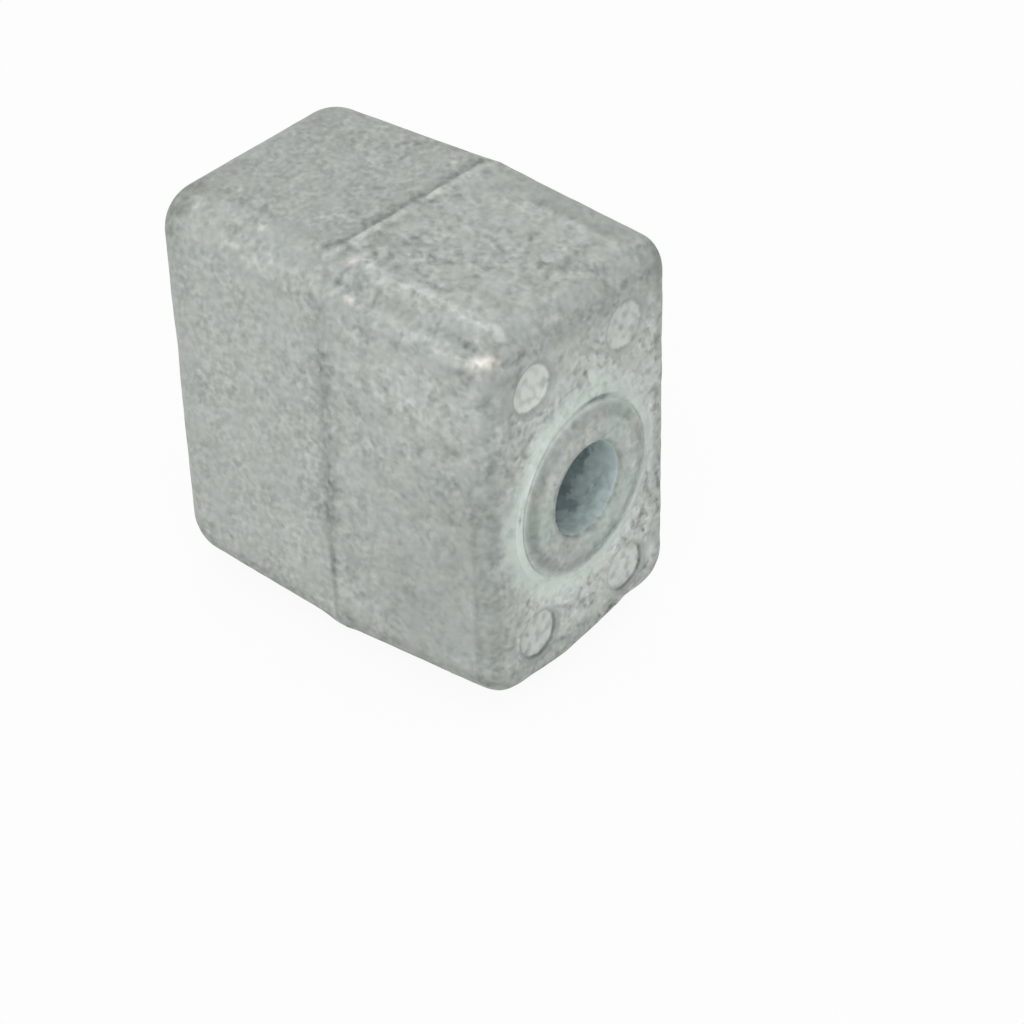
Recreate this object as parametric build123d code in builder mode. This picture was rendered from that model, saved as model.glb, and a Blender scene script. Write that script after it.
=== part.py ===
from build123d import *
import math
import os

# A sacrificial anode, cast in one piece in a two-part mould. It is a block with a
# cored bore along X. Its two halves taper away from the parting plane. The front
# end has a low boss round the bore, and the marks of four ejector pins.
# The frame has +X along the bore towards the boss and +Z up. The origin is under
# the middle of the block, at its lowest line. All sizes are in millimetres.

# Driving dimensions
parting_width = 25.0       # along Y, at the parting line
parting_height = 40.0      # along Z, at the parting line
parting_step = 0.08        # how far the front half stands proud of the back half
front_depth = 18.4         # parting plane to the front face
back_depth = 20.5          # parting plane to the back face
front_side_draft = 0.8     # degrees, on the two sides
front_top_draft = 3.9      # degrees, on the top and the bottom
back_side_draft = 1.3      # degrees, on the two sides
back_top_draft = 1.7       # degrees, on the top and the bottom
corner_radius = 4.25       # rounding of the long edges
front_edge_radius = 2.4    # rounding round the front face
back_edge_radius = 4.1     # rounding round the back face

bore_radius = 4.25         # cored hole
bore_bevel = 0.35          # soft edge at both mouths of the bore
core_shift = 0.2           # the mould's front insert sits this far towards -Y
bore_drop = 1.15           # the bore's axis is this far below mid-height

boss_height = 0.6          # top of the boss above the front face
boss_top_radius = 6.95
boss_rim_radius = 8.1      # foot of the boss's bevel
pad_height = 0.25          # height of the shallow cone at the bevel's foot
pad_radius = 9.5           # where the cone meets the front face
boss_root = 1.0            # how deep the boss is joined into the block

pin_spacing_y = 12.0       # between the two columns of ejector marks
pin_spacing_z = 25.7       # between the two rows
pin_drop = 0.75            # middle of the four marks below mid-height
pin_rim_radius = 2.6
pin_floor_radius = 2.2
pin_depth = 0.45

# Places that follow from the sizes
overall_length = back_depth + front_depth + boss_height
parting_x = back_depth - overall_length / 2
front_x = parting_x + front_depth
back_x = parting_x - back_depth
middle_z = parting_height / 2
bore_z = middle_z - bore_drop
pins_z = middle_z - pin_drop
back_width = parting_width - 2 * parting_step
back_height = parting_height - 2 * parting_step


def cross_plane(x, y=0.0, z=middle_z):
    """A plane across the bore, with its own x along +Y and its own y along +Z."""
    return Plane(origin=(x, y, z), x_dir=(0, 1, 0), z_dir=(1, 0, 0))


def tapered(size, depth, draft):
    """A width or height at the end of a half that tapers on both sides."""
    return size - 2 * depth * math.tan(math.radians(draft))


def half_outline(end_x, near, far):
    """Corners of one half seen along Y or Z, near wide at the parting plane, far at its end."""
    return [(parting_x, -near / 2), (end_x, -far / 2), (end_x, far / 2), (parting_x, near / 2)]


side_view = Plane(origin=(0, 0, middle_z), x_dir=(1, 0, 0), z_dir=(0, -1, 0))

# Front half: its outline from above, cut to its outline from the side
with BuildPart() as front_half:
    with BuildSketch(Plane.XY):
        far_width = tapered(parting_width, front_depth, front_side_draft)
        Polygon(*half_outline(front_x, parting_width, far_width), align=None)
    extrude(amount=parting_height)
    with BuildSketch(side_view):
        far_height = tapered(parting_height, front_depth, front_top_draft)
        Polygon(*half_outline(front_x, parting_height, far_height), align=None)
    extrude(amount=parting_width, both=True, mode=Mode.INTERSECT)
    fillet(front_half.edges().group_by(Axis.X)[1], corner_radius)
    fillet(front_half.faces().sort_by(Axis.X)[-1].edges(), front_edge_radius)

# Back half, a little smaller at the parting plane, so the seam shows as a step
with BuildPart() as back_half:
    with BuildSketch(Plane.XY):
        far_width = tapered(back_width, back_depth, back_side_draft)
        Polygon(*half_outline(back_x, back_width, far_width), align=None)
    extrude(amount=parting_height)
    with BuildSketch(side_view):
        far_height = tapered(back_height, back_depth, back_top_draft)
        Polygon(*half_outline(back_x, back_height, far_height), align=None)
    extrude(amount=parting_width, both=True, mode=Mode.INTERSECT)
    fillet(back_half.edges().group_by(Axis.X)[1], corner_radius)
    fillet(back_half.faces().sort_by(Axis.X)[0].edges(), back_edge_radius)

with BuildPart() as anode_block:
    add(front_half.part)
    add(back_half.part)

    # Low boss round the bore: a flat top, a bevel, and a shallow cone to the face
    bore_plane = cross_plane(front_x, -core_shift, bore_z)
    with BuildSketch(Plane(origin=bore_plane.origin, x_dir=(1, 0, 0), z_dir=(0, 0, 1))):
        with BuildLine():
            Polyline(
                (-boss_root, 0),
                (-boss_root, pad_radius),
                (0, pad_radius),
                (pad_height, boss_rim_radius),
                (boss_height, boss_top_radius),
                (boss_height, 0),
                close=True,
            )
        make_face()
    revolve(axis=Axis(bore_plane.origin, (1, 0, 0)))

    # Ejector marks: four shallow recesses with sloping walls
    pin_taper = math.degrees(math.atan2(pin_rim_radius - pin_floor_radius, pin_depth))
    with BuildSketch(cross_plane(front_x, -core_shift, pins_z)):
        with GridLocations(pin_spacing_y, pin_spacing_z, 2, 2):
            Circle(pin_rim_radius)
    extrude(amount=-pin_depth, taper=pin_taper, mode=Mode.SUBTRACT)

    # Bore, right through, with a small bevel at both mouths
    with Locations(bore_plane):
        Hole(bore_radius)
    chamfer(anode_block.edges(Select.LAST).filter_by(GeomType.CIRCLE), bore_bevel)

anode_block.part.label = "anode_block"

os.makedirs("parts", exist_ok=True)
export_step(anode_block.part, "parts/anode_block.step")
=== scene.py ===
import bpy
import math
import numpy as np
from mathutils import Matrix, Vector
from types import SimpleNamespace


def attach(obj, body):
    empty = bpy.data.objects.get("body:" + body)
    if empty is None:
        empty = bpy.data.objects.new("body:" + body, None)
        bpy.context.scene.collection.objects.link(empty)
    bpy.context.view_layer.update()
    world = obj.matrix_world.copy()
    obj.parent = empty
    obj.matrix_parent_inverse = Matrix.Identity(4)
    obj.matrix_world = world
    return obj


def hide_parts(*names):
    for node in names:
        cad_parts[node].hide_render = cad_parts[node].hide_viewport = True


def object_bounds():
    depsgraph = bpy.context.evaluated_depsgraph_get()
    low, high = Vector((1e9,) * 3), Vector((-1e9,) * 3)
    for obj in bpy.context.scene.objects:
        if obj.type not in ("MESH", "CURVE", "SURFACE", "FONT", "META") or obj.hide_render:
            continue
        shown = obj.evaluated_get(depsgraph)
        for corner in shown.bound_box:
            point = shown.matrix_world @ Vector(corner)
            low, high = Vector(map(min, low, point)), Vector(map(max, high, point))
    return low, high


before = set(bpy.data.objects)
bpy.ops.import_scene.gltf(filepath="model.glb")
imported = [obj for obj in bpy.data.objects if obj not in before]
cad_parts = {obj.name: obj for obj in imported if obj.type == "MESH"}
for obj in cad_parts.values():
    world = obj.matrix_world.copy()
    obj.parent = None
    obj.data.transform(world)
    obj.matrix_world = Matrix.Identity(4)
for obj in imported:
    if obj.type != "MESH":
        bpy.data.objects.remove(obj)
cad_low, cad_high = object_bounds()

# Sizes of the casting in millimetres, the same as in the CAD solid.
# +X runs along the bore towards the boss, and +Z is up.
mm = 0.001
parting_x = 0.75
front_x = 19.15
back_x = -19.75
middle_z = 20.0
parting_half = (12.5, 20.0)        # half the width and half the height at the parting line
parting_step = 0.08
front_slope = (math.tan(math.radians(0.8)), math.tan(math.radians(3.9)))
back_slope = (math.tan(math.radians(1.3)), math.tan(math.radians(1.7)))
corner_radius = 4.25
front_edge_radius = 2.4
back_edge_radius = 4.1
bore_y = -0.2
bore_z = 18.85
bore_radius = 4.25
boss_height = 0.6
top_x = front_x + boss_height      # the boss's flat top
boss_rim_radius = 8.1
pad_height = 0.25
pad_radius = 9.5
pin_places = [(-6.2, 6.4), (5.8, 6.4), (-6.2, 32.1), (5.8, 32.1)]
pin_rim_radius = 2.6
pin_floor_radius = 2.2
pin_depth = 0.45

# The bore's mouths are rounded. The front one is rounded wider on its far side.
mouth_depth = 0.42
mouth_width = (0.35, 0.20, -0.06)  # its middle value, and how much Y and Z change it
mouth_limit = 4.88                 # where the boss's flat top begins
back_mouth_radius = 0.35

# Small places where the casting is dented, swollen, pale or dark, and painted highlights. Each has its
# amount, its place and its size along X, Y and Z. The first two tables give heights in
# millimetres. The tones are in steps of ten levels of an 8-bit grey, and how strong a painted
# highlight is goes from 0 to 1.
anywhere = 1.0e6                   # a size so large that the place on that axis has no effect
skin_dents = (
    (0.16, (12.0, -6.55, 39.2), (0.36, 0.36, 2.0)),      # a pimple on the top
    (0.15, (-0.3, -11.3, 1.3), (1.3, 1.2, 1.2)),         # a burr where the seam ends below
    (-0.12, (-18.0, -12.0, 23.0), (2.5, 2.0, 2.5)),      # a dent in the back edge
)
front_end_dents = (
    (-0.42, (18.4, 7.2, 2.0), (1.8, 2.6, 2.4)),          # worn away towards the far low corner
    (-0.07, (18.5, 6.2, 2.0), (1.2, 0.5, 1.2)),
    (0.30, (18.4, -2.6, 1.9), (1.8, 3.4, 2.2)),          # fuller in the middle of the low edge
)
skin_tones = (
    (1.2, (19.1, 9.2, 22.6), (1.0, 0.6, 3.5)),           # pale beside the far upright edge
    (-3.0, (19.1, 8.8, 5.1), (1.0, 0.30, 0.35)),         # a nick beside the far low mark
    (-1.3, (18.7, 5.6, 31.9), (1.0, 1.0, 0.7)),          # a stain in the far upper mark
    (1.6, (0.15, -12.2, 3.4), (0.28, 1.0, 1.8)),         # where the seam ends below
    (-1.1, (2.0, -12.3, 3.6), (0.9, 1.0, 1.2)),
    # Painted glints on the back half's upper edge
    (2.2, (-8.7, -11.6, 37.6), (0.4, 0.35, 0.3)),        # flecks on the back half's upper edge
    (2.2, (-7.9, -11.85, 37.1), (0.4, 0.35, 0.3)),
    (2.2, (-6.6, -11.9, 37.15), (0.4, 0.35, 0.3)),
    (2.2, (-4.85, -11.65, 37.7), (0.4, 0.35, 0.3)),
    (2.2, (-9.6, -11.55, 37.6), (0.4, 0.35, 0.3)),
    (2.2, (-7.45, -9.95, 39.2), (0.4, 0.35, 0.3)),
    (2.2, (-14.8, -10.3, 38.7), (0.4, 0.35, 0.3)),
)
side_tones = (
    (-1.0, (15.8, -12.5, 20.0), (4.0, 3.0, 7.0)),
    (-0.9, (11.0, -12.5, 9.0), (8.0, 3.0, 7.0)),
    (0.35, (6.0, -12.5, 33.0), (6.0, 3.0, 4.0)),
)
# Painted highlights: the glint on the front corner, and on two flecks of the upper edge
highlight_places = (
    (0.8, (17.80, -11.2, 36.85), (0.70, 0.7, 0.55)),     # the front corner, as three spots
    (0.8, (18.35, -10.7, 36.95), (0.50, 0.6, 0.50)),
    (0.6, (18.75, -10.2, 36.85), (0.40, 0.4, 0.35)),
    (0.7, (2.85, -9.65, 39.6), (0.45, 0.35, 0.3)),       # two flecks on the upper edge
    (0.7, (4.4, -11.85, 37.7), (0.45, 0.35, 0.3)),
)


# Shapes

def ease(value, low, high):
    """0 below low, 1 above high, and an S-shaped curve between them."""
    part = np.clip((value - low) / (high - low), 0, 1)
    return part * part * (3 - 2 * part)


def ridge(value, middle, width):
    """A soft bump of height 1 at middle, a bell curve that is width wide to each side."""
    return np.exp(-((value - middle) / width) ** 2)


def lumps(points, size, seed):
    """Smooth random heights from -1 to 1. Random numbers stand on a lattice, size apart,
    and each point blends its eight nearest ones with an S-shaped weight on each axis."""
    lattice = np.random.default_rng(seed).uniform(-1, 1, (40, 40, 40))
    place = points / size + 1000.0
    cell = np.floor(place).astype(int)
    part = place - cell
    part = part * part * (3 - 2 * part)
    height = np.zeros(points.shape[:-1])
    for step in np.ndindex(2, 2, 2):
        weight = np.prod(np.where(step, part, 1 - part), axis=-1)
        at = (cell + step) % 40
        height += weight * lattice[at[..., 0], at[..., 1], at[..., 2]]
    return height


def rounded_rectangle_columns(straight_y, straight_z, arc):
    """The directions round a rectangle with rounded corners, as four arrays: the sides'
    place in Y and Z from -1 to 1, and the cosine and sine of the turn at each column.
    A point of the outline is (ty * (a - r) + r * cos, tz * (b - r) + r * sin)."""
    side_y = np.linspace(1, -1, straight_y, endpoint=False)
    side_z = np.linspace(-1, 1, straight_z, endpoint=False)
    turn = np.linspace(0, math.pi / 2, arc, endpoint=False)
    one_y, one_z, one = np.ones(straight_y), np.ones(straight_z), np.ones(arc)
    ty = np.concatenate([one_z, one, side_y, -one, -one_z, -one, -side_y, one])
    tz = np.concatenate([side_z, one, one_y, one, -side_z, -one, -one_y, -one])
    angle = np.concatenate([
        0 * one_z, turn,
        0 * one_y + math.pi / 2, turn + math.pi / 2,
        0 * one_z + math.pi, turn + math.pi,
        0 * one_y + 1.5 * math.pi, turn + 1.5 * math.pi,
    ])
    return ty, tz, np.cos(angle), np.sin(angle)


def sections(columns, x, half_y, half_z, radius):
    """Rows of points, each a rounded rectangle at its own x with its own size and corner."""
    ty, tz, cosine, sine = columns
    x, half_y, half_z, radius = (np.asarray(v, float)[:, None] for v in (x, half_y, half_z, radius))
    y = ty * (half_y - radius) + radius * cosine
    z = tz * (half_z - radius) + radius * sine + middle_z
    return np.stack([x + 0 * y, y, z], axis=-1)


def rings(x, radius, direction):
    """Rows of points, each a ring round the bore's axis, with one point per column. The
    radius is one number per row, or one per row and column."""
    x = np.asarray(x, float)[:, None]
    radius = np.reshape(radius, (x.size, -1))
    y = bore_y + radius * direction[:, 0]
    z = bore_z + radius * direction[:, 1]
    return np.stack([x + 0 * y, y, z], axis=-1)


def half_sizes(x):
    """Half the width and half the height of the tapered block at each x, before its ends
    are rounded. The front half is wider than the back half by a small step."""
    front = np.clip(x - parting_x, 0, None)
    back = np.clip(parting_x - x, 0, None)
    step = parting_step * (x < parting_x)
    return [
        half - step - front * f - back * b
        for half, f, b in zip(parting_half, front_slope, back_slope)
    ]


def end_rounding(face_x, sign, radius, count):
    """The rounding round an end face as a quarter turn. It starts in the face and ends in
    the sides. Gives each row's x, half width, half height and corner radius."""
    turn = np.linspace(0, math.pi / 2, count)
    x = face_x - sign * radius * (1 - np.cos(turn))
    inset = radius * (1 - np.sin(turn))
    half_y, half_z = half_sizes(x)
    return x, half_y - inset, half_z - inset, corner_radius - inset


def casting_points():
    """The whole casting as one grid that closes both ways. The columns go round the bore.
    The rows start at the front mouth and go out over the front face, along the outside to
    the back, in over the back face, and through the bore to the front again."""
    columns = rounded_rectangle_columns(straight_y=52, straight_z=102, arc=23)

    # The points of each ring lie in the directions of the front face's flat outline
    front_rows = end_rounding(front_x, 1, front_edge_radius, count=15)
    back_rows = end_rounding(back_x, -1, back_edge_radius, count=18)
    flat = sections(columns, *(v[:1] for v in front_rows))[0, :, 1:]
    reach = flat - np.array([bore_y, bore_z])
    distance = np.linalg.norm(reach, axis=1)
    direction = reach / distance[:, None]

    # Mouth of the bore, top of the boss and its bevel, the mean of two S-shaped curves, so
    # that its rims are soft
    mouth = np.linspace(0, math.pi / 2, 6)
    width = mouth_width[0] + direction @ mouth_width[1:]
    mouth_radius = bore_radius + (1 - np.cos(mouth))[:, None] * width
    mouth_rows = rings(top_x - mouth_depth + mouth_depth * np.sin(mouth), mouth_radius, direction)
    top_rows = rings(np.full(8, top_x), np.linspace(mouth_limit, 6.45, 8), direction)
    rim_radius = np.linspace(6.6, 8.05, 11)
    bevel = ease(rim_radius, 6.35, 8.35) * 0.5 + ease(rim_radius, 6.6, 8.1) * 0.5
    rim_rows = rings(top_x - (boss_height - pad_height) * bevel, rim_radius, direction)

    # The face from the foot of the bevel to where the rounding starts
    share = np.linspace(0, 1, 50)[:, None, None] ** 0.92
    start = rings([front_x], [boss_rim_radius + 0.1], direction)
    stop = sections(columns, *(v[:1] for v in front_rows))
    face_rows = start + (stop - start) * share

    # The outside: front rounding, front half, the seam's step, back half, back rounding.
    # The rows stand close together at the step.
    seam_x = parting_x + np.array([0.9, 0.6, 0.38, 0.2, 0.09, 0.02, -0.03, -0.1, -0.2, -0.34, -0.55, -0.85])
    front_half = np.linspace(front_rows[0][-1], seam_x[0], 39)[1:-1]
    back_half = np.linspace(seam_x[-1], back_rows[0][-1], 37)[1:-1]
    side_x = np.concatenate([front_half, seam_x, back_half])
    side_rows = sections(columns, side_x, *half_sizes(side_x), np.full(side_x.size, corner_radius))

    # The back face, the back mouth and the bore
    back_flat = sections(columns, *(v[:1] for v in back_rows))
    back_ring = rings([back_x], [bore_radius + back_mouth_radius + 0.15], direction)
    back_share = np.linspace(1, 0, 17)[1:, None, None]
    back_face = back_ring + (back_flat - back_ring) * back_share
    mouth = np.linspace(math.pi / 2, 0, 5)
    mouth_x = back_x + back_mouth_radius * (1 - np.sin(mouth))
    back_mouth_rows = rings(mouth_x, bore_radius + back_mouth_radius * (1 - np.cos(mouth)), direction)
    bore_x = np.linspace(back_x + back_mouth_radius, top_x - mouth_depth, 30)[1:-1]
    bore_rows = rings(bore_x, np.full(bore_x.size, bore_radius), direction)

    return np.concatenate([
        mouth_rows, top_rows, rim_rows, face_rows,
        sections(columns, *(v[1:] for v in front_rows)), side_rows,
        sections(columns, *(v[::-1][:-1] for v in back_rows)), back_flat,
        back_face, back_mouth_rows, bore_rows,
    ])


def outward(points):
    """Unit normals of a grid that closes both ways: the cross product of the steps to the
    neighbours round the bore and along the rows."""
    along = np.roll(points, -1, 0) - np.roll(points, 1, 0)
    around = np.roll(points, -1, 1) - np.roll(points, 1, 1)
    normal = np.cross(along, around)
    return normal / np.maximum(np.linalg.norm(normal, axis=2, keepdims=True), 1e-9)


def grid_mesh(name, points, masks):
    """A smooth mesh of four-sided faces over a grid that closes both ways. Each mask is
    one number per point, kept under its name for the material."""
    rows, columns = points.shape[:2]
    here = np.arange(rows * columns).reshape(rows, columns)
    beside = np.roll(here, -1, 1)
    beyond = np.roll(here, -1, 0)
    across = np.roll(beyond, -1, 1)
    corners = np.stack([here, beyond, across, beside], axis=-1).ravel()
    mesh = bpy.data.meshes.new(name)
    mesh.vertices.add(here.size)
    mesh.vertices.foreach_set("co", (points * mm).astype(np.float32).ravel())
    mesh.loops.add(corners.size)
    mesh.loops.foreach_set("vertex_index", corners.astype(np.int32))
    mesh.polygons.add(here.size)
    mesh.polygons.foreach_set("loop_start", np.arange(0, corners.size, 4, dtype=np.int32))
    mesh.update(calc_edges=True)
    mesh.shade_smooth()
    for mask, values in masks.items():
        layer = mesh.attributes.new(mask, "FLOAT", "POINT")
        layer.data.foreach_set("value", values.astype(np.float32).ravel())
    return mesh


def near(points, place, size):
    """1 at place and falling to 0 around it as a bell curve, size wide along X, Y and Z."""
    return np.exp(-(((points - np.array(place)) / np.array(size)) ** 2).sum(axis=-1))


def spots(points, table):
    """The sum of the bell curves in a table, each with its amount, its place and its size."""
    return sum(amount * near(points, place, size) for amount, place, size in table)


def seam_wander(points):
    """How far the seam strays along X from the parting plane: a slow wobble, and a slant
    over the top."""
    slant = (0.04 * points[..., 1] - 0.21) * ease(points[..., 2], 35, 38)
    return 0.12 + slant + 0.10 * lumps(points * (0, 1, 1), 4.0, 11)


def surface_places(points):
    """Where each point of the drawn shape lies. Gives its coordinates and normal, angles in
    degrees, distances in millimetres, and masks from 0 to 1 for the parts of the casting."""
    x, y, z = np.moveaxis(points, -1, 0)

    # The seam's small step doesn't tip the directions along which heights are added
    seam = x - parting_x
    normal = outward(points)
    normal[..., 0] *= 1 - ridge(seam, 0, 0.5)
    normal /= np.linalg.norm(normal, axis=2, keepdims=True)
    lean_x, lean_y, lean_z = np.moveaxis(normal, -1, 0)

    # Parts of the casting: the bore, the front face and its rounding, and the outside
    from_axis = np.hypot(y - bore_y, z - bore_z)
    in_bore = (from_axis < bore_radius + 0.05) & (x < top_x - 0.4) & (x > back_x + 0.2)
    front_end = (x > 15) & ~in_bore
    on_face = (lean_x > 0.9) & (x > front_x - 0.1) & ~in_bore
    facing = ease(lean_x, 0.35, 0.9) * front_end
    past_boss = from_axis > 9.9
    outside = past_boss * (1 - ease(np.abs(lean_x), 0.15, 0.80))
    end_round = past_boss * (x > 14) * ease(np.abs(lean_x), 0.0, 0.2) * (1 - on_face)
    well_front = ease(x, parting_x - 1.0, parting_x + 2.5)
    left = (lean_y < 0) * outside

    # How far the long edges have turned, from 0 at the sides to 90 at top and bottom. The
    # near upper one has a broken shoulder to each side of its middle.
    turned = np.degrees(np.arctan2(np.abs(lean_z), np.abs(lean_y)))
    broken = ease(lumps(points * (0.35, 1, 1), 0.8, 31) + 0.5 * lumps(points, 3.0, 32), -0.3, 0.4)
    sway = 4 * lumps(points * (1, 0, 0), 2.5, 34)
    top_left = left * (lean_z > 0)

    # The smooth ring round the boss, where the tool was polished, with an uneven rim
    side = (bore_y - y) / np.maximum(from_axis, 1)
    rise = np.abs(z - bore_z) / np.maximum(from_axis, 1)
    reach = 9.7 + 0.8 * ease(rise, 0.5, 1.0) + 0.3 * side + 0.55 * lumps(points, 1.9, 5)
    reach = reach + 0.3 * lumps(points, 0.8, 6)
    ring = facing * ease(from_axis, 7.6, 8.35) * (1 - ease(from_axis, reach - 0.8, reach + 0.8))
    ring = ring * (0.82 + 0.18 * side)
    ring = np.maximum(ring, 0.6 * facing * near(points, (19, -3.0, 30.7), (3, 1.1, 0.9)))

    return SimpleNamespace(
        points=points, x=x, y=y, z=z, seam=seam, wander=seam_wander(points),
        normal=normal, lean_x=lean_x, lean_y=lean_y, lean_z=lean_z,
        from_axis=from_axis, around=np.degrees(np.arctan2(z - bore_z, y - bore_y)), side=side,
        in_bore=in_bore, front_end=front_end, on_face=on_face, facing=facing, ring=ring,
        outside=outside, left=left, top_left=top_left, on_top=ease(lean_z, 0.5, 0.9) * outside,
        flat_side=ease(np.abs(lean_y), 0.85, 0.995) * outside,
        flat_top=ease(np.abs(lean_z), 0.85, 0.995) * outside,
        upright=end_round * (lean_y < -0.3) * (np.abs(lean_z) < 0.5),
        bend=np.degrees(np.arccos(np.clip(lean_x, -1, 1))), turned=turned,
        front=ease(x, parting_x - 0.1, parting_x + 0.1), well_front=well_front,
        front_share=0.3 + 0.7 * well_front, broken=broken,
        upper_shoulder=ridge(turned + sway, 78, 7.5) * top_left * broken,
        lower_shoulder=ridge(turned + sway, 28, 11) * top_left * (0.3 + 0.7 * broken),
    )


def ejector_marks(at):
    """The four round marks on the front face. Gives how deep they sink each point, its
    distance from the middle of the nearest mark, with a slight wobble, and 1 on the far
    side of that mark. The wall is an S-shaped curve about as steep as the drawn one."""
    sunk = np.zeros(at.x.shape)
    distance = np.full(at.x.shape, 9.0)
    far_side = np.zeros(at.x.shape)
    for number, (pin_y, pin_z) in enumerate(pin_places):
        away = np.hypot(at.y - pin_y, at.z - pin_z)
        away = away + 0.07 * lumps(at.points, 1.6, 21 + number) + 9 * (1 - at.on_face)
        sunk += at.on_face * pin_depth * (1 - ease(away, pin_floor_radius - 0.18, pin_rim_radius + 0.14))
        slope = ((at.y - pin_y) - (at.z - pin_z)) / np.maximum(away, 0.5)
        far_side = np.where(away < distance, ease(slope, -0.6, 1.2), far_side)
        distance = np.minimum(distance, away)
    return sunk, distance, far_side


def cast_relief(at, pin_distance):
    """Heights along the normals, in millimetres, that the mould and handling left."""
    points = at.points
    left, top_left, turned, well_front = at.left, at.top_left, at.turned, at.well_front

    # Uneven metal: slow waves, lumps of a few millimetres, and the coarsest grain
    calm = np.clip(at.ring + 1 - ease(pin_distance, 1.95, 2.3), 0, 1) * 0.8
    rough = (1 - calm) * np.where(at.in_bore, 0.6, 1.0)
    rough = rough * (1 - 0.5 * ease(9.0 - at.from_axis, 0, 0.5) * at.on_face)
    height = -0.03 * rough * (0.5 + 0.5 * lumps(points, 7.5, 1))
    height -= 0.035 * rough * (0.5 + 0.5 * lumps(points, 2.4, 2))
    height -= (0.03 + 0.025 * well_front) * rough * (0.5 + 0.5 * lumps(points, 1.1, 3))

    # Long edges: flattened in the middle, with the shoulders raised, and folds in the skin
    edge_share = (0.3 + 0.7 * top_left) * (0.35 + 0.65 * well_front) * at.outside
    height -= 0.10 * ridge(turned, 52, 15) * edge_share
    height += 0.05 * (at.upper_shoulder + at.lower_shoulder) * at.front_share
    folds = lumps(points * (0.22, 1, 0.8), 0.85, 33)
    fold_share = top_left * ease(turned, -1, 2) * (1 - ease(turned, 78, 88)) + 0.5 * left * (turned < 3)
    height += 0.04 * folds * fold_share * well_front * ease(at.z, 25, 35)

    # Small pits, and the seam's soft groove behind the step. On the long edges the step
    # was trimmed away, so the back half meets the front half there.
    pits = ease(lumps(points, 0.75, 8) * 0.7 + 0.3 * lumps(points, 3.0, 9), 0.42, 0.62)
    height -= 0.05 * pits * rough
    long_edge = ease(turned, 4, 24) * (1 - ease(turned, 68, 86)) * at.outside
    seam_cut = 0.3 + 0.5 * ease(lumps(points * (0, 1, 1), 2.2, 12), -0.7, 0.5)
    seam_cut = np.where(np.abs(at.lean_z) > 0.9, 0.8, seam_cut) * (1 - long_edge) * at.outside
    height -= 0.07 * seam_cut * ridge(at.seam, -0.35, 0.30)
    height -= 0.02 * seam_cut * ridge(at.seam, -0.8, 0.5)
    height += parting_step * long_edge * (at.seam < 0) * ridge(at.seam, 0, 2.2)

    # Dents round the bore's front mouth, and the single places
    mouth_dents = (0.5 + 0.5 * lumps(points, 1.0, 41)) * ridge(at.from_axis, 4.5, 0.35) * (at.x > 15)
    height -= (0.14 - 0.10 * ease(at.side, -0.5, 0.6)) * mouth_dents
    return height + spots(points, skin_dents) + spots(points, front_end_dents) * at.front_end


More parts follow.
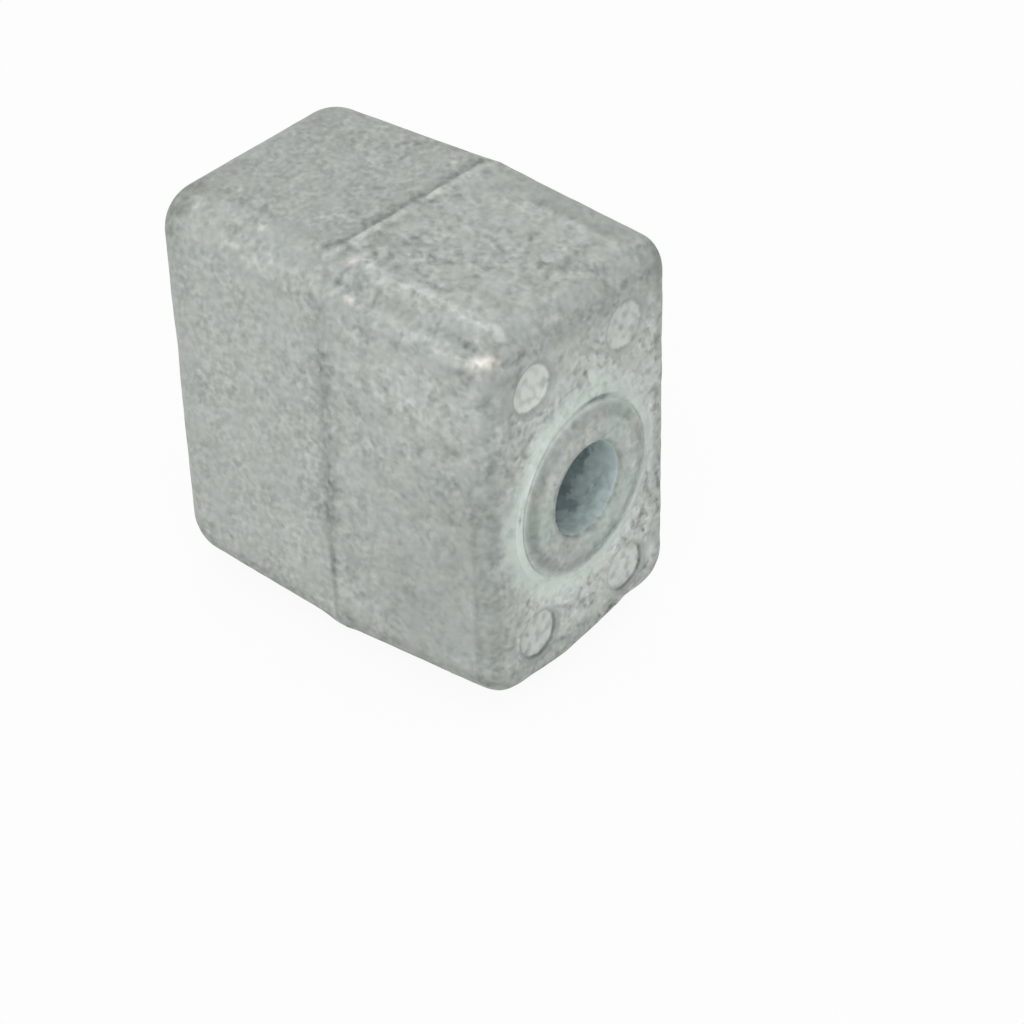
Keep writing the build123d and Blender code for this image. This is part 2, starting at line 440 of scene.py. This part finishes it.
def cast_tones(at, pin_distance):
    """Paler and darker places, in steps of ten levels of an 8-bit grey. Some are marks and stains, and some
    are painted shade and painted highlights on edges and rims.
    """
    x, y, z, points, turned, bend = at.x, at.y, at.z, at.points, at.turned, at.bend
    facing, left, top_left, well_front = at.facing, at.left, at.top_left, at.well_front

    # The top, the side and the upright edge between the side and the front face
    tone = -0.2 * facing - 0.6 * at.on_top * (1 - 0.6 * well_front) + spots(points, side_tones) * left
    tone -= (0.15 + 0.75 * ease(27 - z, -2, 3)) * ridge(bend, 43, 24) * at.upright
    tone -= (0.8 * ease(26 - z, -2, 3) + 0.4 * ease(18 - z, -2, 3)) * ease(bend, 45, 75) * at.upright

    # The edge between the top and the front face, but for its near corner
    upper_front = 0.8 * ease(74 - bend, 0, 25) + 0.8 * ease(28 - bend, 0, 24)
    upper_front = upper_front * at.front_end * ease(z, 33.2, 36.4) * (0.7 + 0.3 * ease(y, -8, -2))
    tone -= upper_front * (1 - near(points, (18.5, -10.8, 37.0), (3.0, 3.2, 3.4)))

    # The near upper edge: pale shoulders, a painted highlight on the raised skin, with painted shadow in
    # the dark lines beside them
    tone += (1.3 * at.upper_shoulder + 0.15 * at.lower_shoulder) * at.front_share
    tone += 0.15 * top_left * well_front * ease(turned, 10, 30) * (1 - ease(turned, 84, 89))
    tone += (0.4 * ridge(turned, 55, 25) - 0.55 * ridge(turned, 82, 12)) * top_left * (1 - well_front)
    tone -= (1.1 * ridge(turned, 46, 9) + 0.9 * ridge(turned, 10, 9)) * top_left * at.front_share
    tone -= 1.0 * near(points, (16.2, -10.9, 37.8), (2.4, 0.7, 0.7)) * top_left

    # The far upper edge: painted shade where it turns away from the light, with a broken pale line beside
    # it
    far_top = (at.lean_y > 0) * (at.lean_z > 0) * at.outside * well_front * (0.6 + 0.4 * ease(x, 2, 12))
    tone -= 0.5 * (1 - ease(turned, 84, 89)) * far_top
    front_top = at.on_top * well_front
    tone -= 1.5 * ridge(y, 7.75, 0.6) * front_top * ease(x, 0, 12)
    tone += 1.1 * ridge(y, 6.75, 0.3) * front_top * (0.4 + 0.6 * at.broken) * ease(x, 2, 8)

    # Painted shade where less light reaches: the front face's far rim and low rim, and the outside's low
    # edge and its low back corner
    face_rim = at.front_end * ease(at.lean_x, 0.3, 0.6)
    tone -= 1.2 * ease(y, 9.0, 10.3) * face_rim
    tone -= 1.0 * near(points, (18.6, 9.5, 36.6), (2.2, 2.0, 2.4)) * at.front_end
    low_share = (0.3 + 0.7 * ease(y, -9.5, -5)) * (1 - 0.55 * ease(y, 3, 6.5))
    low_share = low_share * (0.25 + 0.75 * ease(pin_distance, 2.3, 3.2))
    tone -= 2.0 * ease(5.0 - z, 0, 1.0) * face_rim * low_share
    under = 1.2 - 0.2 * well_front - 0.7 * ease(-x, 12, 16)
    tone -= under * ease(turned, 0, 16) * left * (at.lean_z < 0)
    tone -= 1.2 * ease(-x, 12, 16) * ease(7.0 - z, 0, 2.0) * left

    # The back corner, the boss's bevel and ring on the near side, and the single places
    tone -= 1.9 * near(points, (0, -10, 38), (anywhere, 3.5, 3.5)) * ease(-x, 14.6, 16.6)
    tone -= ridge(at.from_axis, 7.15, 0.75) * (0.1 + 1.1 * ease(at.side, 0.5, 1.0)) * facing
    tone -= 0.3 * at.ring * ease(at.side, 0.2, 0.9)
    tone -= 0.8 * facing * ease(-7 - y, -1, 1.5) * (at.from_axis > 9)
    return tone + spots(points, skin_tones)


def seam_masks(at, moved_x):
    """How far each point is from the seam along X, in widths of the seam's dark band, and
    how strongly the seam shows on the top, on the sides and on the long edges. Its colour
    jumps back where the edge was trimmed, and fades on that edge."""
    z = at.z
    jump = 1.4 * near(at.points, (0, -10.7, 38.3), (anywhere, 1.7, 1.7))
    shift = jump + 0.2 * ease(20 - z, -1, 1) * at.flat_side
    width = 1.35 + 0.05 * ease(28 - z, -1, 2) + 0.25 * ridge(z, 15.5, 3.5) - 0.8 * ease(11.5 - z, -1, 1)
    width = 1 + (width - 1) * at.flat_side
    strong = 0.70 + 0.55 * ease(18.5 - z, -2.5, 2.5) - 0.6 * ease(5 - z, -1, 1.5) + 0.15 * ease(z, 26, 29)
    uneven = 0.65 + 0.35 * ease(lumps(at.points * (0, 1, 1), 1.6, 13), -0.6, 0.5)
    return {
        "seam_distance": (moved_x - parting_x - at.wander + shift) / width,
        "seam_top": at.flat_top,
        "seam_side": at.flat_side * strong * uneven,
        "seam_edge": 0.6 * (at.outside * (1 - at.flat_side) - at.flat_top),
    }


def cast_block():
    """The casting: the drawn shape, then what the mould and handling left on it, as
    heights along the surface's normals. Also where each finish lies."""
    at = surface_places(casting_points())
    x, y, z, from_axis, well_front = at.x, at.y, at.z, at.from_axis, at.well_front
    points = at.points.copy()

    # The seam's rows move with its wander, and its neighbours follow less and less
    points[..., 0] += at.outside * at.wander * ridge(at.seam, 0, 3.5)

    # The shallow cone at the bevel's foot, the four marks, and the uneven skin
    cone = np.clip((pad_radius - from_axis) / (pad_radius - boss_rim_radius), 0, 1)
    cone_height = pad_height * cone * ease(cone, 0, 0.35)
    sunk, pin_distance, far_side = ejector_marks(at)
    points[..., 0] += np.where(at.on_face & (from_axis > boss_rim_radius), cone_height, 0) - sunk
    points = points + at.normal * cast_relief(at, pin_distance)[..., None]

    # Nothing reaches past the CAD solid's box
    spare = 0.004
    low = np.array([v / mm for v in cad_low]) + spare
    high = np.array([v / mm for v in cad_high]) - spare
    points = np.clip(points, low, high)

    # Pits and pale grains lie thickest on the right and the lower part of the front face
    coarse = at.facing * ease(from_axis, 8.6, 9.8)
    coarse = coarse * ease(bore_z + 15 + 2 * lumps(at.points, 3.0, 14) - z, -1, 4)
    coarse = coarse * (1 - 0.7 * ease(-y, 7, 10)) * (at.lean_x > 0.9)
    grain_depth = 1.1 - 0.2 * well_front + 0.1 * at.on_top * well_front - 0.15 * at.facing * (1 - coarse)
    grain_depth -= 0.25 * ease(-x, 14, 17) * (1 - ease(-at.lean_x, 0.8, 0.95))
    grain_depth -= 0.45 * near(at.points, (12, -12.5, 10), (8, 4, 10)) * at.left
    grain_depth -= 0.4 * at.in_bore + 0.5 * ease(y, 7.0, 7.6) * at.on_top * well_front

    # The near upper mark is the palest, and the two low marks have the most painted shade on their far
    # walls
    pin_pale = np.where(y > 0, 0.65, np.where(z > middle_z, 1.5, 0.5))
    pin_far_shade = far_side * at.facing * np.where(z > middle_z, 0.7, 2.1)
    masks = {
        "front_half": at.front,
        "smooth_skin": np.clip(at.ring, 0, 1),
        "grain_depth": grain_depth,
        "coarse_grain": coarse,
        "tone": cast_tones(at, pin_distance) + 1.1 * coarse * (1 - at.ring),
        "upright_line": ridge(at.bend, 45, 15) * at.upright,
        "edge_reach": np.radians(at.turned) * corner_radius + 1.1 * (1 - well_front),
        "edge_share": at.top_left * (0.4 + 0.6 * well_front) * (0.6 + 0.4 * ease(x, 4, 14)),
        "axis_distance": np.where(at.front_end, from_axis, 20.0),
        "upper_arc": ridge(at.around, 78, 17) * at.facing,
        # A painted highlight as a streak along the cone's foot
        "streak_highlight": ridge(at.around, 149, 8) * at.facing,
        "scratch": ridge(at.around, 170, 4) * at.facing,
        "cut_line": ridge(at.around, 101, 7) * at.facing,
        "pin_distance": pin_distance,
        "pin_pale": pin_pale,
        "pin_far_shade": pin_far_shade,
        "painted_highlight": np.clip(spots(at.points, highlight_places), 0, 1),
        "bore_depth": (from_axis < mouth_limit - 0.02) * np.minimum(top_x - x, x - back_x),
        **seam_masks(at, points[..., 0]),
    }
    block = bpy.data.objects.new("cast_block", grid_mesh("cast_block", points, masks))
    bpy.context.scene.collection.objects.link(block)
    return block


# Finishes

def colour(code):
    """An sRGB hex colour as the linear RGBA that Blender's sockets hold."""
    parts = [int(code[i:i + 2], 16) / 255 for i in (1, 3, 5)]
    return [v / 12.92 if v <= 0.04045 else ((v + 0.055) / 1.055) ** 2.4 for v in parts] + [1.0]


def add(tree, kind, inputs=None, output=0, **settings):
    """Adds one node with its settings, fills or links its inputs by name or number, and
    gives back the output asked for."""
    node = tree.nodes.new(kind)
    for name, value in settings.items():
        setattr(node, name, value)
    for name, value in (inputs or {}).items():
        if isinstance(value, bpy.types.NodeSocket):
            tree.links.new(value, node.inputs[name])
        else:
            node.inputs[name].default_value = value
    return node.outputs[output] if node.outputs else None


def new_material(name):
    """A material with an empty node tree, and that tree."""
    material = bpy.data.materials.new(name)
    material.use_nodes = True
    material.node_tree.nodes.clear()
    return material, material.node_tree


def as_cast_anode_alloy():
    """Aluminium anode alloy, as cast in a metal mould and left bare. Its skin is a dull
    pale grey oxide over bright metal, soft to the eye: lumps and grains of half a
    millimetre to one millimetre with darker pits between them, finer in the back half,
    and smoother where the tool was polished. Painted highlights brighten the front corner
    and a few small places, and painted shade darkens the bore and some edges, rims and hollows."""
    material, tree = new_material("as_cast_aluminium_anode_alloy")
    place = add(tree, "ShaderNodeTexCoord", output="Object")

    # The lumps are half as long again along the block's diagonal as across it: each pattern
    # is looked up at a place that is squeezed by about a third along that diagonal
    diagonal = (0.577, -0.577, 0.577)
    squeeze = -0.32
    along = add(tree, "ShaderNodeVectorMath", {0: place, 1: diagonal}, "Value", operation="DOT_PRODUCT")
    along = add(tree, "ShaderNodeVectorMath", {0: diagonal, "Scale": along}, operation="SCALE")
    along = add(tree, "ShaderNodeVectorMath", {0: along, "Scale": squeeze}, operation="SCALE")
    flow = add(tree, "ShaderNodeVectorMath", {0: place, 1: along}, operation="ADD")
    mask = {}
    for name in (
        "front_half", "smooth_skin", "grain_depth", "coarse_grain", "tone", "upright_line",
        "edge_reach", "edge_share", "axis_distance", "upper_arc", "streak_highlight", "scratch", "cut_line",
        "pin_distance", "pin_pale", "pin_far_shade", "seam_distance", "seam_top", "seam_side", "seam_edge",
        "painted_highlight", "bore_depth",
    ):
        mask[name] = add(tree, "ShaderNodeAttribute", output="Fac", attribute_name=name)

    # Patterns of random noise. Each has the size of its lumps in millimetres, its detail
    # and roughness, the noise values that give its lowest and highest number, and those.
    pattern = {}
    for seed, (name, size, detail, rough, start, stop, lowest, highest) in enumerate((
        ("clouds", 7.0, 2.0, 0.50, 0.35, 0.65, -1.0, 1.0),
        ("drifts", 2.8, 2.0, 0.50, 0.30, 0.70, -1.0, 1.0),
        ("patches", 2.4, 2.0, 0.50, 0.36, 0.60, 0.60, 1.20),
        ("lumps", 1.20, 1.0, 0.50, 0.28, 0.72, -1.0, 1.0),
        ("grains", 0.55, 0.5, 0.50, 0.28, 0.72, -1.0, 1.0),
        ("fine_grain", 0.30, 0.0, 0.50, 0.28, 0.72, -1.0, 1.0),
        ("pits", 0.55, 0.5, 0.50, 0.42, 0.26, 0.0, 1.0),
        ("pale_grains", 0.70, 0.5, 0.50, 0.58, 0.74, 0.0, 1.0),
        ("stroke_line", 1.15, 0.5, 0.50, 0.0, 1.0, 0.0, 1.0),
        ("stroke_gaps", 1.0, 1.0, 0.50, 0.44, 0.60, 0.0, 1.0),
        ("dents", 0.8, 0.5, 0.50, 0.42, 0.74, 0.0, 1.0),
        ("broken", 1.3, 3.0, 0.60, 0.38, 0.58, 0.0, 1.0),
        ("stains", 1.1, 3.0, 0.55, 0.52, 0.68, 0.0, 1.0),
        ("wobble", 1.6, 3.0, 0.60, 0.20, 0.80, -1.0, 1.0),
        ("highlight_breakup", 0.55, 3.0, 0.60, 0.24, 0.44, 0.0, 1.0),
        ("bore_ragged", 2.0, 4.0, 0.65, 0.30, 0.70, -2.2, 2.2),
        ("bore_mottle", 1.2, 3.0, 0.60, 0.38, 0.62, 0.45, 1.0),
        ("cool_tint", 4.5, 2.0, 0.50, 0.46, 0.68, 0.0, 1.0),
        ("warm_tint", 4.0, 2.0, 0.50, 0.46, 0.68, 0.0, 1.0),
    )):
        noise = add(tree, "ShaderNodeTexNoise", {
            "Vector": flow, "W": 3.7 * seed, "Scale": 1 / (size * mm), "Detail": detail, "Roughness": rough,
        }, noise_dimensions="4D")
        pattern[name] = add(tree, "ShaderNodeMapRange", {
            "Value": noise, "From Min": start, "From Max": stop, "To Min": lowest, "To Max": highest,
        }, interpolation_type="LINEAR" if name == "stroke_line" else "SMOOTHSTEP")

    # Short dark strokes: where one noise is near its middle, broken up by another noise
    off = add(tree, "ShaderNodeMath", {0: pattern["stroke_line"], 1: 0.5}, operation="SUBTRACT")
    off = add(tree, "ShaderNodeMath", {0: off}, operation="ABSOLUTE")
    line = add(tree, "ShaderNodeMapRange", {
        "Value": off, "From Min": 0.15, "From Max": 0.0,
    }, interpolation_type="SMOOTHSTEP")
    strokes = add(tree, "ShaderNodeMath", {0: line, 1: pattern["stroke_gaps"]}, operation="MULTIPLY")

    # Bands at a distance from a centre line: 1 up to the inner width, 0 past the outer
    # width, with a little wobble. All in millimetres.
    band = {}
    for name, source, wobble, middle, outer, inner in (
        ("mouth_edge", "axis_distance", 0.12, 4.35, 0.65, 0.0),
        ("boss_top", "axis_distance", 0.30, 6.2, 2.4, 1.2),
        ("bevel", "axis_distance", 0.10, 7.22, 0.95, 0.15),
        ("bevel_foot", "axis_distance", 0.05, 7.95, 0.25, 0.0),
        ("arc", "axis_distance", 0.10, 8.45, 0.40, 0.1),
        ("streak", "axis_distance", 0.04, 8.47, 0.30, 0.0),
        ("scratch_line", "axis_distance", 0.02, 8.62, 0.16, 0.0),
        ("cut", "axis_distance", 0.08, 10.75, 0.22, 0.0),
        ("pin_floor", "pin_distance", 0.12, 0.0, 2.45, 1.95),
        ("pin_wall", "pin_distance", 0.12, 2.50, 0.50, 0.1),
        ("pin_edge", "pin_distance", 0.08, 2.26, 0.26, 0.0),
        ("upper_line", "edge_reach", 0.50, 5.78, 0.72, 0.10),
        ("lower_line", "edge_reach", 0.80, 2.20, 0.45, 0.0),
        ("top_core", "seam_distance", 0.06, -0.36, 0.58, 0.0),
        ("top_tail", "seam_distance", 0.12, -0.75, 1.10, 0.0),
        ("top_lip", "seam_distance", 0.06, 0.48, 0.55, 0.1),
        ("side_wide", "seam_distance", 0.10, 0.05, 1.20, 0.0),
        ("edge_line", "seam_distance", 0.16, 0.0, 0.50, 0.0),
    ):
        off = add(tree, "ShaderNodeMath", {
            0: pattern["wobble"], 1: wobble, 2: mask[source],
        }, operation="MULTIPLY_ADD")
        off = add(tree, "ShaderNodeMath", {0: off, 1: middle}, operation="SUBTRACT")
        off = add(tree, "ShaderNodeMath", {0: off}, operation="ABSOLUTE")
        band[name] = add(tree, "ShaderNodeMapRange", {
            "Value": off, "From Min": outer, "From Max": inner,
        }, interpolation_type="SMOOTHSTEP")

    edge_dashes = add(tree, "ShaderNodeMath", {
        0: pattern["broken"], 1: mask["edge_share"],
    }, operation="MULTIPLY")
    pin_skin = add(tree, "ShaderNodeMath", {
        0: band["pin_floor"], 1: mask["pin_pale"],
    }, operation="MULTIPLY")
    smooth = mask["smooth_skin"]
    for calm_place in (band["pin_floor"], band["pin_wall"]):
        smooth = add(tree, "ShaderNodeMath", {0: smooth, 1: calm_place}, operation="MAXIMUM")

    # Grain, in levels of an 8-bit grey. Each line is how strong, what, and where.
    grain = 0.0
    for levels, what, where in (
        (3.5, pattern["lumps"], None),
        (6.0, pattern["lumps"], mask["front_half"]),
        (7.0, pattern["grains"], None),
        (2.0, pattern["fine_grain"], None),
        (-4.0, pattern["pits"], None),
        (7.0, pattern["pale_grains"], None),
        (-5.0, strokes, None),
        (-6.0, strokes, mask["front_half"]),
        (-15.0, pattern["pits"], mask["coarse_grain"]),
        (-12.0, strokes, mask["coarse_grain"]),
        (8.0, pattern["pale_grains"], mask["coarse_grain"]),
    ):
        if where is not None:
            what = add(tree, "ShaderNodeMath", {0: what, 1: where}, operation="MULTIPLY")
        grain = add(tree, "ShaderNodeMath", {0: what, 1: levels, 2: grain}, operation="MULTIPLY_ADD")
    calm = add(tree, "ShaderNodeMapRange", {"Value": smooth, "To Min": 1.0, "To Max": 0.28})
    calm = add(tree, "ShaderNodeMath", {0: calm, 1: mask["grain_depth"]}, operation="MULTIPLY")
    calm = add(tree, "ShaderNodeMath", {0: calm, 1: pattern["patches"]}, operation="MULTIPLY")
    grain = add(tree, "ShaderNodeMath", {0: grain, 1: calm}, operation="MULTIPLY")

    # What else makes the skin paler or darker, in the same levels
    shade = grain
    for levels, what, where in (
        (10.0, mask["tone"], None),
        (2.5, pattern["clouds"], None),
        (2.5, pattern["drifts"], None),
        (-3.0, mask["upright_line"], None),
        (-2.0, mask["upright_line"], pattern["broken"]),
        # Pale broken lines along the near upper edge, which are painted highlights
        (26.0, band["upper_line"], edge_dashes),
        (9.0, band["lower_line"], edge_dashes),
        (-16.0, band["mouth_edge"], None),
        (-12.0, band["bevel"], None),
        (-5.0, band["bevel_foot"], pattern["broken"]),
        (-38.0, band["arc"], mask["upper_arc"]),
        # A painted highlight as a streak along the cone's foot
        (10.0, band["streak"], mask["streak_highlight"]),
        (-22.0, band["scratch_line"], mask["scratch"]),
        (-14.0, band["cut"], mask["cut_line"]),
        # Painted shade on the marks' walls and rims, strongest on their far sides
        (-7.0, band["pin_wall"], None),
        (-9.0, band["pin_wall"], mask["pin_far_shade"]),
        (-6.0, band["pin_edge"], None),
        (-12.0, band["pin_edge"], mask["pin_far_shade"]),
        (-26.0, band["pin_floor"], pattern["dents"]),
        # The seam's dark band: dirt in its groove and painted shade behind the step, with a pale lip beside
        # it on the top
        (-15.0, band["top_core"], mask["seam_top"]),
        (-9.0, band["top_tail"], mask["seam_top"]),
        (11.0, band["top_lip"], mask["seam_top"]),
        (20.0, pin_skin, None),
        (-20.0, band["side_wide"], mask["seam_side"]),
        (-12.0, band["edge_line"], mask["seam_edge"]),
        (-11.0, mask["smooth_skin"], pattern["stains"]),
    ):
        if where is not None:
            what = add(tree, "ShaderNodeMath", {0: what, 1: where}, operation="MULTIPLY")
        shade = add(tree, "ShaderNodeMath", {0: what, 1: levels, 2: shade}, operation="MULTIPLY_ADD")

    # The bore's skin is bluish near the mouths; further in it is darkened by painted shade, ragged at its
    # edge
    ragged = add(tree, "ShaderNodeMath", {
        0: mask["bore_depth"], 1: pattern["bore_ragged"],
    }, operation="ADD")
    depth = {}
    for name, source, start, stop in (
        ("inside", mask["bore_depth"], 0.05, 0.45),
        ("bore_shade", ragged, 2.0, 4.0),
        ("bore_dark_shade", ragged, 3.7, 4.3),
    ):
        depth[name] = add(tree, "ShaderNodeMapRange", {
            "Value": source, "From Min": start, "From Max": stop,
        }, interpolation_type="SMOOTHSTEP")
    # Where highlights are painted, broken up by a noise
    highlight_share = add(tree, "ShaderNodeMath", {
        0: mask["painted_highlight"], 1: pattern["highlight_breakup"],
    }, operation="MULTIPLY")

    # Colour: greenish grey oxide. Each line is the new colour, how much, what, and where.
    base = colour("#AFB4AF")
    for code, share, what, where in (
        ("#ACB3B5", 0.25, pattern["cool_tint"], None),
        ("#B1B5AC", 0.35, pattern["warm_tint"], None),
        ("#CCD4CE", 1.0, mask["smooth_skin"], None),
        ("#A8B5AC", 0.7, band["boss_top"], pattern["cool_tint"]),
        ("#B8C6C7", 0.9, depth["inside"], None),
        # Painted shade, darkening the bore away from its mouths
        ("#ACBABB", 0.9, depth["bore_shade"], depth["inside"]),
        ("#859498", 0.8, depth["bore_dark_shade"], pattern["bore_mottle"]),
        # Painted highlights on the front corner and a few flecks
        ("#DCD5CF", 1.0, highlight_share, None),
    ):
        if where is not None:
            what = add(tree, "ShaderNodeMath", {0: what, 1: where}, operation="MULTIPLY")
        what = add(tree, "ShaderNodeMath", {0: what, 1: share}, operation="MULTIPLY")
        base = add(tree, "ShaderNodeMix", {0: what, 6: base, 7: colour(code)}, 2, data_type="RGBA")

    # One level near this grey is about 1.4 percent of its light. Green changes a little less
    # than red and blue, so dark places look greenish and pale ones don't.
    light = add(tree, "ShaderNodeVectorMath", {
        0: shade, 1: (0.0139, 0.0133, 0.0137), 2: (1.0, 1.0, 1.0),
    }, operation="MULTIPLY_ADD")
    base = add(tree, "ShaderNodeVectorMath", {0: base, 1: light}, operation="MULTIPLY")

    # Relief: a level of grain is about 0.003 mm, so a deep pit lies 0.05 mm below a lump
    bump = add(tree, "ShaderNodeBump", {"Height": grain, "Strength": 1.0, "Distance": 0.003 * mm})
    dull = add(tree, "ShaderNodeMapRange", {
        "Value": pattern["drifts"], "From Min": -1.0, "From Max": 1.0, "To Min": 0.70, "To Max": 0.82,
    })
    dull = add(tree, "ShaderNodeMix", {0: highlight_share, 2: dull, 3: 0.55}, data_type="FLOAT")
    shader = add(tree, "ShaderNodeBsdfPrincipled", {
        "Base Color": base, "Metallic": 0.3, "Roughness": dull, "Normal": bump,
    })
    add(tree, "ShaderNodeOutputMaterial", {"Surface": shader})
    return material


def paper_white_floor():
    """A sheet of white studio paper. The camera sees it nearly pure white, and it keeps
    the soft shadow under the casting."""
    material, tree = new_material("studio_paper")
    plain = add(tree, "ShaderNodeBsdfDiffuse", {"Color": colour("#E4E4E4")})
    bright = add(tree, "ShaderNodeEmission", {"Color": (1, 1, 1, 1), "Strength": 1.0})
    share = 0.0
    for ray in ("Is Camera Ray", "Is Glossy Ray", "Is Transmission Ray"):
        seen = add(tree, "ShaderNodeLightPath", output=ray)
        share = add(tree, "ShaderNodeMath", {0: seen, 1: 0.92, 2: share}, operation="MULTIPLY_ADD")
    both = add(tree, "ShaderNodeMixShader", {0: share, 1: plain, 2: bright})
    add(tree, "ShaderNodeOutputMaterial", {"Surface": both})
    return material


block = cast_block()
block.data.materials.append(as_cast_anode_alloy())
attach(block, "root")
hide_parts("anode_block")

# Floor, world and lamps
floor_mesh = bpy.data.meshes.new("floor")
floor_mesh.from_pydata([(-3, -3, 0), (3, -3, 0), (3, 3, 0), (-3, 3, 0)], [], [(0, 1, 2, 3)])
floor_mesh.materials.append(paper_white_floor())
floor = bpy.data.objects.new("floor", floor_mesh)
bpy.context.scene.collection.objects.link(floor)

# The camera and mirrors see the world pure white. Its light on the block is a little less.
lighting, seen_white = 0.88, 1.0
world = bpy.data.worlds.new("studio")
bpy.context.scene.world = world
world.use_nodes = True
sky = world.node_tree
sky.nodes.clear()
strength = lighting
for ray in ("Is Camera Ray", "Is Glossy Ray", "Is Transmission Ray"):
    shown = add(sky, "ShaderNodeLightPath", output=ray)
    strength = add(sky, "ShaderNodeMath", {
        0: shown, 1: seen_white - lighting, 2: strength,
    }, operation="MULTIPLY_ADD")
backdrop = add(sky, "ShaderNodeBackground", {"Color": (1, 1, 1, 1), "Strength": strength})
add(sky, "ShaderNodeOutputWorld", {"Surface": backdrop})


def soft_lamp(name, place, size, power):
    """A square lamp at place, in metres, that faces the middle of the block."""
    lamp = bpy.data.lights.new(name, "AREA")
    lamp.size = size
    lamp.energy = power
    holder = bpy.data.objects.new(name, lamp)
    holder.location = place
    holder.rotation_mode = "QUATERNION"
    holder.rotation_quaternion = (Vector((0, 0, 0.02)) - Vector(place)).to_track_quat("-Z", "Y")
    bpy.context.scene.collection.objects.link(holder)


soft_lamp("key_lamp", (0.34, -0.78, 0.48), 0.5, 2.2)
soft_lamp("side_lamp", (0.85, -0.35, 0.40), 0.4, 1.2)

# The camera stands where the photograph was taken from, fitted to the block's outline
camera_place = (0.152811, -0.162935, 0.175318)
camera_right = (0.76457844, 0.64416197, -0.02179829)
camera_up = (-0.37502806, 0.47213052, 0.79777611)
camera_back = (0.52418867, -0.60178744, 0.60255963)
lens = bpy.data.cameras.new("photo_camera")
lens.sensor_width = 36.0
lens.lens = 108.50
lens.clip_start = 0.01
lens.clip_end = 20.0
camera = bpy.data.objects.new("photo_camera", lens)
turn = Matrix((camera_right, camera_up, camera_back)).transposed()
camera.matrix_world = Matrix.Translation(camera_place) @ turn.to_4x4()
bpy.context.scene.collection.objects.link(camera)
bpy.context.scene.camera = camera
bpy.context.scene.view_settings.view_transform = "Standard"
